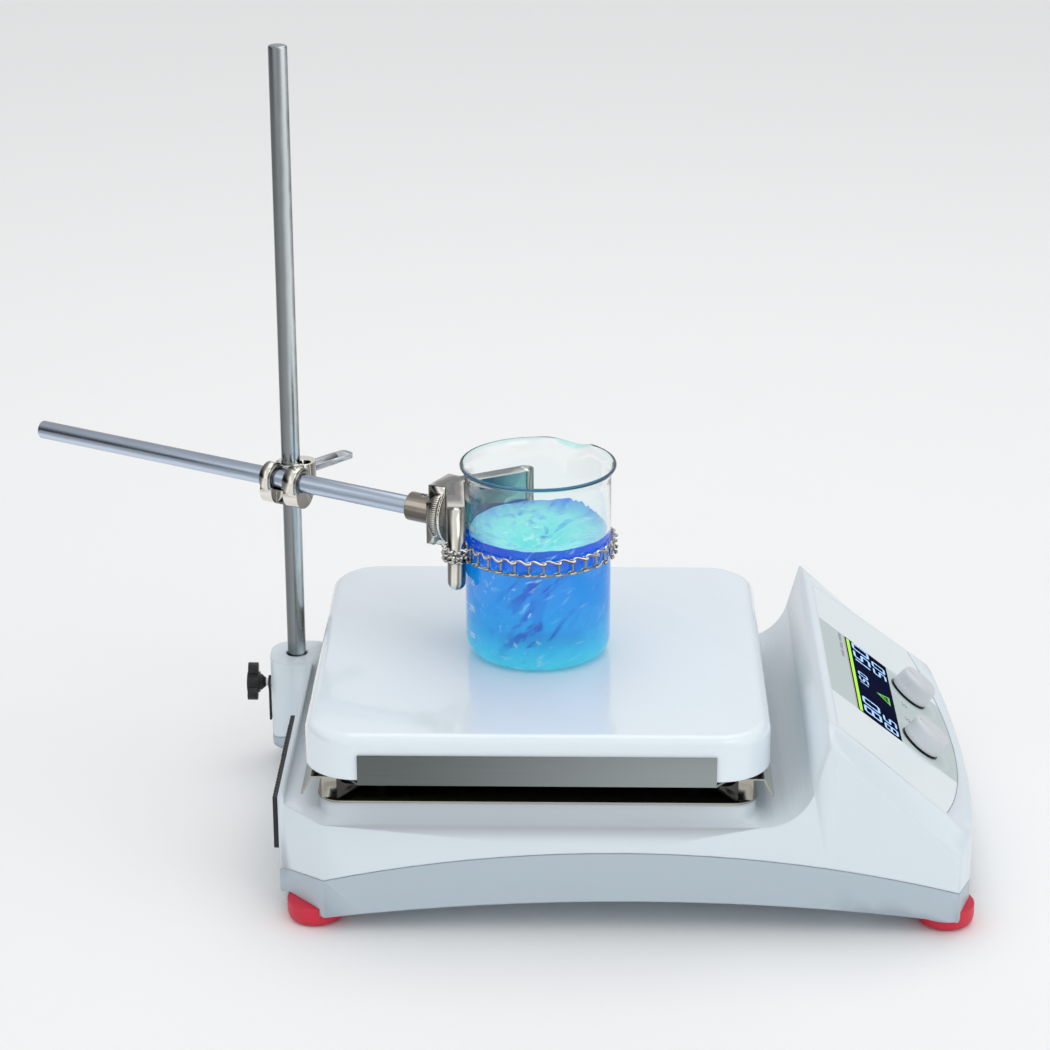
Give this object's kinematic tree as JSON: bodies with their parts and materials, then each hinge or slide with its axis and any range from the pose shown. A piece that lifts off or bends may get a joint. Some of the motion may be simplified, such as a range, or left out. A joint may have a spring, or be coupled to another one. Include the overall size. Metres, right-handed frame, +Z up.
{
  "type": "magnetic stirrer",
  "caption": "Hotplate magnetic stirrer with a sloped control panel, a rear support rod and a chain clamp that holds a beaker over the square ceramic top.",
  "frame": {"origin": "where the stirring axis meets the bench plane, under the centre of the square top", "axes": "+Z up along the stirring axis, the control panel faces -Y and the support rod stands at +Y; +X is to the right of someone who faces the panel"},
  "size_m": [0.335, 0.6105, 0.484],
  "materials": {
    "white_enamel": "semi-gloss powder coat",
    "base_grey": "fine satin moulding",
    "foot_rubber": "matt red rubber",
    "panel_film": "satin printed film",
    "display_glass": "glossy dark window",
    "display_cell": "display module",
    "circuit_board": "solder mask",
    "component_black": "moulded epoxy",
    "knob_grey": "satin moulding",
    "knob_ring": "matt",
    "shaft_steel": "ground steel",
    "screw_zinc": "zinc plated",
    "ceramic_white": "white glaze",
    "heater_alloy": "cast",
    "insulation": "ceramic fibre",
    "sensor_steel": "drawn sheath",
    "tray_black": "matt black",
    "stainless": "brushed sheet",
    "motor_steel": "motor can",
    "copper": "copper winding",
    "fan_black": "moulding",
    "magnet_nickel": "nickel plate",
    "alloy": "extruded",
    "panel_black": "fine texture",
    "contact_brass": "plated",
    "rod_steel": "ground stainless",
    "arm_alloy": "anodised",
    "clamp_nickel": "nickel plated casting",
    "knob_black": "moulded",
    "strap_black": "flexible strap",
    "lab_glass": "borosilicate",
    "ptfe": "PTFE"
  },
  "bodies": {
    "housing": {"upper_housing": "white_enamel", "lower_housing": "base_grey", "control_overlay": "panel_film", "display_window": "display_glass", "display_module": "display_cell", "display_board": "circuit_board", "knob_bezels": "knob_ring", "encoder_bodies": "component_black", "top_plate": "ceramic_white", "heating_element": "heater_alloy", "insulation_pad": "insulation", "temperature_sensor": "sensor_steel", "heater_tray": "tray_black", "plate_screws": "screw_zinc", "side_strips": "stainless", "drip_pan": "stainless", "standoffs": "stainless", "standoff_screws": "screw_zinc", "motor_housing": "motor_steel", "motor_stator": "copper", "motor_bracket": "stainless", "motor_bearings": "shaft_steel", "main_board": "circuit_board", "board_components": "component_black", "heat_sink": "alloy", "board_screws": "screw_zinc", "rear_panel": "panel_black", "power_inlet": "panel_black", "inlet_pins": "contact_brass", "feet": "foot_rubber", "foot_screws": "screw_zinc", "case_screws": "screw_zinc", "rod_socket": "shaft_steel", "knob_strap": "strap_black"},
    "rotor": {"motor_shaft": "shaft_steel", "motor_rotor": "motor_steel", "cooling_fan": "fan_black", "magnet_carrier": "alloy", "drive_magnets": "magnet_nickel"},
    "heat_push": {"heat_push_pin": "component_black"},
    "heat_dial": {"heat_encoder_shaft": "shaft_steel", "heat_knob": "knob_grey"},
    "speed_push": {"speed_push_pin": "component_black"},
    "speed_dial": {"speed_encoder_shaft": "shaft_steel", "speed_knob": "knob_grey"},
    "fuse_tray": {"fuse_drawer": "panel_black", "fuses": "lab_glass"},
    "rocker": {"power_switch": "component_black"},
    "lock": {"lock_screw": "screw_zinc", "lock_knob": "knob_black"},
    "post": {"support_rod": "rod_steel"},
    "connector": {"boss_head": "clamp_nickel"},
    "wing": {"wing_screw": "screw_zinc"},
    "arm": {"cross_rod": "arm_alloy", "clamp_head": "clamp_nickel", "clamp_sleeve": "clamp_nickel", "set_screw": "shaft_steel", "chain": "clamp_nickel"},
    "vessel": {"beaker": "lab_glass"},
    "stirrer": {"stir_bar": "ptfe"}
  },
  "joints": [
    {"name": "rotor_spin", "type": "hinge", "parent": "housing", "child": "rotor", "pos_m": [0, 0, 0.05], "axis": [0, 0, 1], "continuous": true},
    {"name": "heat_push_slide", "type": "slide", "parent": "housing", "child": "heat_push", "axis": [0, 0.6223, -0.7828], "range_m": [0, 0.0006], "stiffness_N_per_m": 2000},
    {"name": "heat_dial_turn", "type": "hinge", "parent": "heat_push", "child": "heat_dial", "pos_m": [-0.0375, -0.23541, 0.07709], "axis": [0, -0.6223, 0.7828], "continuous": true},
    {"name": "speed_push_slide", "type": "slide", "parent": "housing", "child": "speed_push", "axis": [0, 0.6223, -0.7828], "range_m": [0, 0.0006], "stiffness_N_per_m": 2000},
    {"name": "speed_dial_turn", "type": "hinge", "parent": "speed_push", "child": "speed_dial", "pos_m": [0.0375, -0.23541, 0.07709], "axis": [0, -0.6223, 0.7828], "continuous": true},
    {"name": "power_switch_rock", "type": "hinge", "parent": "housing", "child": "rocker", "pos_m": [-0.058, 0.155, 0.057], "axis": [1, 0, 0], "range_deg": [0, 14]},
    {"name": "fuse_drawer_slide", "type": "slide", "parent": "housing", "child": "fuse_tray", "axis": [0, 1, 0], "range_m": [0, 0.02]},
    {"name": "lock_screw_turn", "type": "hinge", "parent": "housing", "child": "lock", "pos_m": [0.1022, 0.19, 0.0545], "axis": [0, 1, 0], "range_deg": [-180, 180]},
    {"name": "post_swing", "type": "hinge", "parent": "housing", "child": "post", "pos_m": [0.1022, 0.1638, 0.1], "axis": [0, 0, 1], "range_deg": [-35, 35]},
    {"name": "connector_height", "type": "slide", "parent": "post", "child": "connector", "axis": [0, 0, 1], "range_m": [0, 0.2]},
    {"name": "wing_screw_turn", "type": "hinge", "parent": "connector", "child": "wing", "pos_m": [0.1022, 0.1638, 0.203], "axis": [0.7431, -0.6691, 0], "range_deg": [-180, 180]},
    {"name": "arm_reach", "type": "slide", "parent": "connector", "child": "arm", "axis": [-0.4879, -0.8729, 0], "range_m": [-0.06, 0.06]},
    {"name": "beaker_lift", "type": "slide", "parent": "arm", "child": "vessel", "axis": [0, 0, 1], "range_m": [0, 0.1]},
    {"name": "stir_bar_spin", "type": "hinge", "parent": "vessel", "child": "stirrer", "pos_m": [0, 0, 0.1342], "axis": [0, 0, 1], "continuous": true}
  ],
  "couplings": [
    {"joint": "stir_bar_spin", "follows": "rotor_spin", "ratio": 1}
  ]
}
